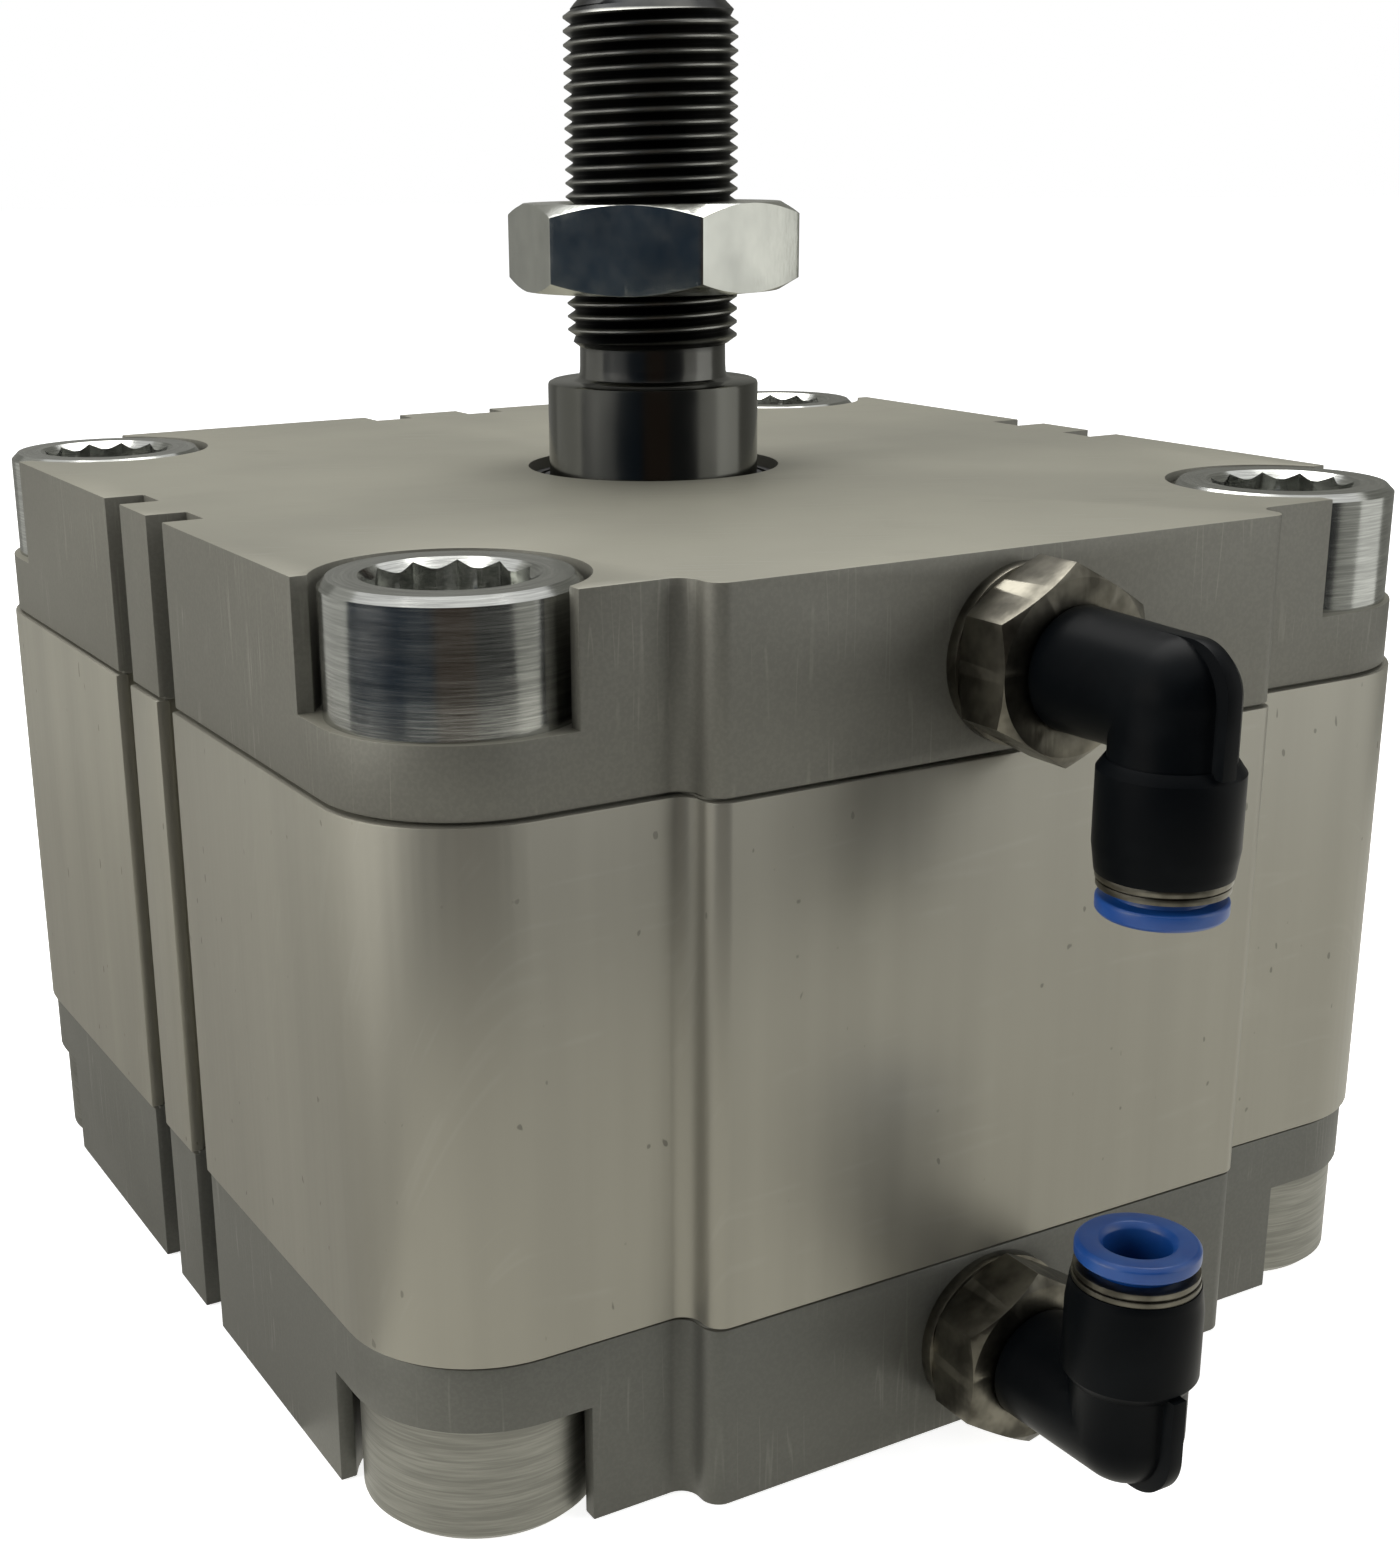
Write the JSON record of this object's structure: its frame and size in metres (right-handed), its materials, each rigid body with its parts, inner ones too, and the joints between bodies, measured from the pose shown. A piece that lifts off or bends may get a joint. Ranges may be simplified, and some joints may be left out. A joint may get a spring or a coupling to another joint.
{
  "type": "compact pneumatic cylinder",
  "caption": "Square compact pneumatic cylinder: threaded piston rod with a lock nut, sensor slots, corner screws and swivel push-in elbows for air tubes.",
  "frame": {"origin": "on the rod's axis, in the rear cap's flat outer face", "axes": "+Z along the rod, out of the front cap; the ports and their elbows face -Y; +X is to the right when looking at the ports"},
  "size_m": [0.1298, 0.1619, 0.1457],
  "materials": {
    "cap_light": "satin, fine milling marks",
    "cap_dark": "satin",
    "barrel": "satin anodised extrusion",
    "rubber": "matt",
    "buffer": "matt",
    "bronze": "smooth sintered bronze",
    "rod_steel": "ground and polished",
    "piston_metal": "turned",
    "magnet": "plastic-bonded magnet",
    "bolt_steel": "blackened",
    "guide_plastic": "smooth",
    "zinc_steel": "bright zinc plate with turning marks",
    "nickel_brass": "nickel plate",
    "black_plastic": "semi-gloss moulded",
    "spring_steel": "bright",
    "blue_plastic": "semi-gloss moulded"
  },
  "bodies": {
    "housing": {"rear_cap": "cap_dark", "front_cap": "cap_light", "barrel": "barrel", "rear_cap_seal": "rubber", "front_cap_seal": "rubber", "rear_buffer": "buffer", "front_buffer": "buffer", "rod_bush": "bronze", "rod_seal": "rubber", "front_screw_1": "zinc_steel", "front_screw_2": "zinc_steel", "front_screw_3": "zinc_steel", "front_screw_4": "zinc_steel", "rear_screw_1": "zinc_steel", "rear_screw_2": "zinc_steel", "rear_screw_3": "zinc_steel", "rear_screw_4": "zinc_steel", "upper_stud": "nickel_brass", "upper_port_seal": "rubber", "lower_stud": "nickel_brass", "lower_port_seal": "rubber"},
    "piston_rings": {"guide_band": "guide_plastic", "lower_piston_seal": "rubber", "upper_piston_seal": "rubber"},
    "rod": {"piston_rod": "rod_steel", "piston": "piston_metal", "piston_magnet": "magnet", "piston_bolt": "bolt_steel"},
    "nut": {"lock_nut": "zinc_steel"},
    "upper_swivel": {"upper_elbow": "black_plastic", "upper_swivel_ring": "rubber", "upper_tube_seal": "rubber", "upper_gripper": "spring_steel", "upper_clamp_ring": "nickel_brass"},
    "upper_button": {"upper_release_ring": "blue_plastic"},
    "lower_swivel": {"lower_elbow": "black_plastic", "lower_swivel_ring": "rubber", "lower_tube_seal": "rubber", "lower_gripper": "spring_steel", "lower_clamp_ring": "nickel_brass"},
    "lower_button": {"lower_release_ring": "blue_plastic"}
  },
  "joints": [
    {"name": "rod_slide", "type": "slide", "parent": "housing", "child": "piston_rings", "axis": [0, 0, 1], "range_m": [0, 0.025]},
    {"name": "rod_spin", "type": "hinge", "parent": "piston_rings", "child": "rod", "pos_m": [0, 0, 0], "axis": [0, 0, 1], "continuous": true},
    {"name": "nut_travel", "type": "slide", "parent": "rod", "child": "nut", "axis": [0, 0, 1], "range_m": [-0.009, 0.017]},
    {"name": "upper_elbow_swivel", "type": "hinge", "parent": "housing", "child": "upper_swivel", "pos_m": [0, -0.069, 0.0832], "axis": [0, -1, 0], "continuous": true},
    {"name": "upper_release", "type": "slide", "parent": "upper_swivel", "child": "upper_button", "axis": [0, 0, 1], "range_m": [0, 0.0008], "stiffness_N_per_m": 2000, "springref_m": -0.0005},
    {"name": "lower_elbow_swivel", "type": "hinge", "parent": "housing", "child": "lower_swivel", "pos_m": [0, -0.069, 0.0102], "axis": [0, -1, 0], "continuous": true},
    {"name": "lower_release", "type": "slide", "parent": "lower_swivel", "child": "lower_button", "axis": [0, 0, -1], "range_m": [0, 0.0008], "stiffness_N_per_m": 2000, "springref_m": -0.0005}
  ]
}
